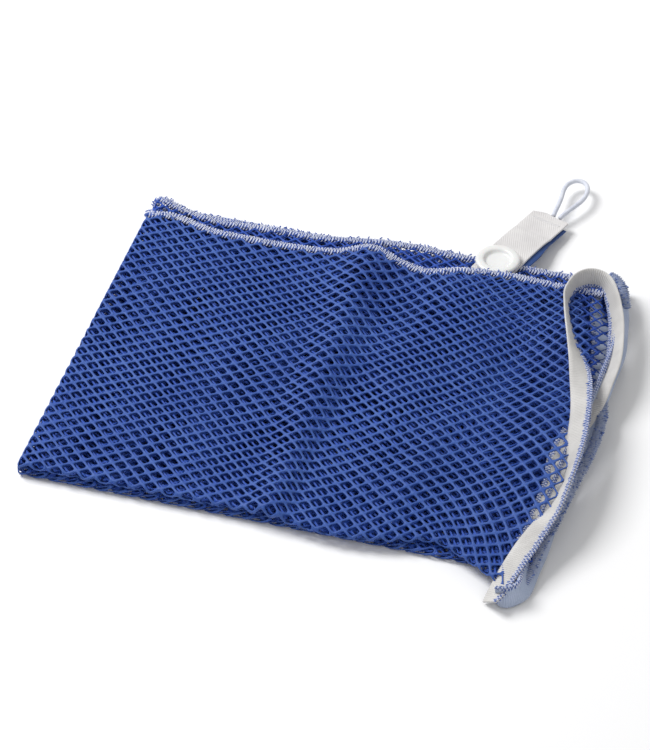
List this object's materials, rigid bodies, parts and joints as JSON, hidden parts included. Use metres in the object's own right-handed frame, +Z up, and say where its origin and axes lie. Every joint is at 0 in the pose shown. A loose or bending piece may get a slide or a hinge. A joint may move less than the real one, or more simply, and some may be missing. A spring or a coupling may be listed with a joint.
{
  "type": "mesh laundry bag",
  "caption": "Folded blue mesh laundry bag with overlocked side seams, white taped mouth, and a closure strap with a button and an elastic loop.",
  "frame": {"origin": "on the underside, in the middle of the folded rectangle", "axes": "+X runs from the crosswise fold to the mouth, +Y from the lengthwise fold to the side seams and the strap, +Z up"},
  "size_m": [0.3225, 0.3711, 0.0281],
  "materials": {
    "netting": "royal blue polyester netting",
    "seam_thread": "white and blue overlock thread",
    "mouth_tape": "white ribbed tape",
    "stitch_thread": "blue sewing thread",
    "strap_webbing": "white ribbed webbing",
    "tack_thread": "white sewing thread",
    "button": "satin white",
    "elastic": "white braided elastic cord"
  },
  "bodies": {
    "lower_half": {"third_leaf_outer_net": "netting", "third_leaf_inner_net": "netting", "bottom_leaf_inner_net": "netting", "bottom_leaf_outer_net": "netting", "third_leaf_seam": "seam_thread", "bottom_leaf_seam": "seam_thread"},
    "upper_half": {"top_leaf_outer_net": "netting", "top_leaf_inner_net": "netting", "second_leaf_inner_net": "netting", "second_leaf_outer_net": "netting", "top_leaf_seam": "seam_thread", "second_leaf_seam": "seam_thread", "mouth_tape_front": "mouth_tape", "mouth_tape_front_lining": "mouth_tape", "mouth_tape_rear_lining": "mouth_tape", "mouth_tape_rear": "mouth_tape", "tape_stitching_front": "stitch_thread", "tape_stitching_rear": "stitch_thread", "strap_root": "strap_webbing", "strap_root_tack": "tack_thread", "button_thread": "tack_thread"},
    "strap_end": {"strap_end": "strap_webbing", "strap_end_tack": "tack_thread"},
    "button": {"button": "button"},
    "elastic_loop": {"elastic_loop": "elastic"}
  },
  "joints": [
    {"name": "unfold", "type": "hinge", "parent": "lower_half", "child": "upper_half", "pos_m": [-0.155, 0, 0.00565], "axis": [0, -1, 0], "range_deg": [0, 170]},
    {"name": "strap_lift", "type": "hinge", "parent": "upper_half", "child": "strap_end", "pos_m": [0.07456, 0.14212, 0.0104], "axis": [0.9511, -0.309, 0], "range_deg": [0, 110]},
    {"name": "loop_lift", "type": "hinge", "parent": "strap_end", "child": "elastic_loop", "pos_m": [0.0889, 0.1863, 0.0066], "axis": [0.9511, -0.309, 0], "range_deg": [0, 110]},
    {"name": "button_rock", "type": "hinge", "parent": "upper_half", "child": "button", "pos_m": [0.069, 0.125, 0.01135], "axis": [0.9511, -0.309, 0], "range_deg": [-4, 4]}
  ]
}
